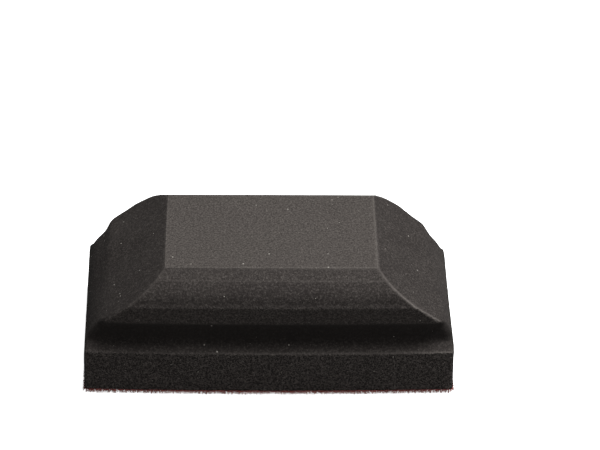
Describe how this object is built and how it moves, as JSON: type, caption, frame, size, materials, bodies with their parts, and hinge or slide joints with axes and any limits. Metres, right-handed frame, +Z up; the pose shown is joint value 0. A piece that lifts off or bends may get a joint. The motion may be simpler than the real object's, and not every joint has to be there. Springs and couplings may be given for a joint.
{
  "type": "sanding block",
  "caption": "Hand sanding block: foam body with a flat palm face, faceted shoulders, finger grooves along both long sides and sloping ends, on a woven hook sole for abrasive sheets.",
  "frame": {"origin": "on the floor under the middle of the sole, where the hook tips stand", "axes": "+X along the block's length, +Y across it, +Z up from the sole to the palm face"},
  "size_m": [0.125, 0.07, 0.043],
  "materials": {
    "foam": "charcoal closed-cell foam, fine milled cell texture, dead matt, with edges rubbed paler and a few light specks",
    "adhesive": "thin clear amber pressure-sensitive film, dull at its cut edge",
    "binder": "dark red polymer back coat, matt",
    "cloth": "plain-woven red polyamide ground, multifilament yarns",
    "hooks": "stiff red polyamide monofilament hooks, slightly shiny"
  },
  "bodies": {
    "root": {"foam_body": "foam", "adhesive_film": "adhesive", "binder_coat": "binder", "ground_cloth": "cloth", "hook_pile": "hooks"}
  },
  "joints": []
}
